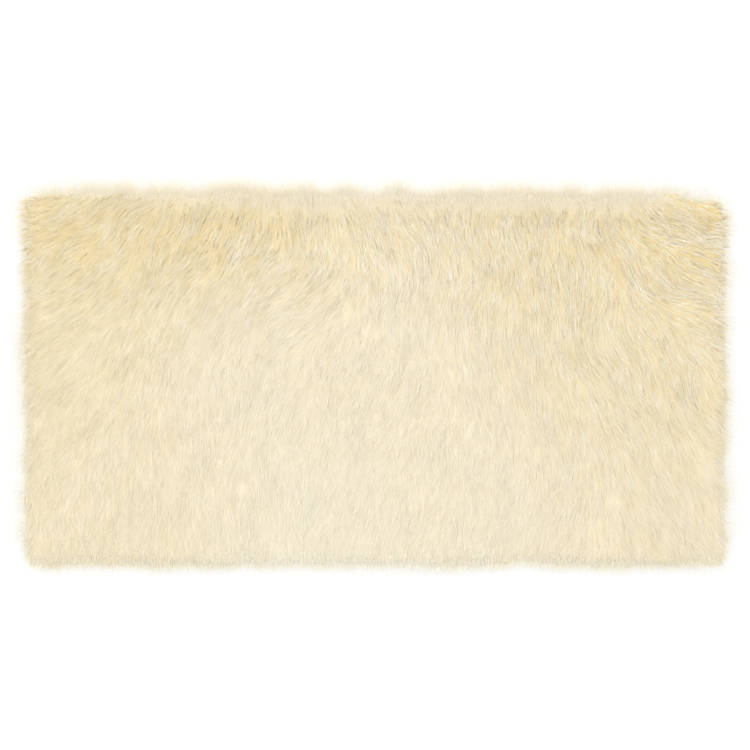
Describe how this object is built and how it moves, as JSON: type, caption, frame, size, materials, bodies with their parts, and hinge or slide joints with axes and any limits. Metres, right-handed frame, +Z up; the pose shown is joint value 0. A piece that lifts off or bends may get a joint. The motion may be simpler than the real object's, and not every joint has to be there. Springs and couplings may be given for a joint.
{
  "type": "faux sheepskin rug",
  "caption": "Rectangular faux sheepskin rug with long combed pile, rounded corners, and locks of hair that droop over its edge to the floor.",
  "frame": {"origin": "on the floor under the middle of the rug", "axes": "+X along the rug's length, +Y across its width, +Z up out of the pile"},
  "size_m": [1.5414, 0.8468, 0.0401],
  "materials": {
    "faux_fur": "cream long-pile faux fur, soft sheen"
  },
  "bodies": {
    "root": {"fur_rug": "faux_fur"}
  },
  "joints": []
}
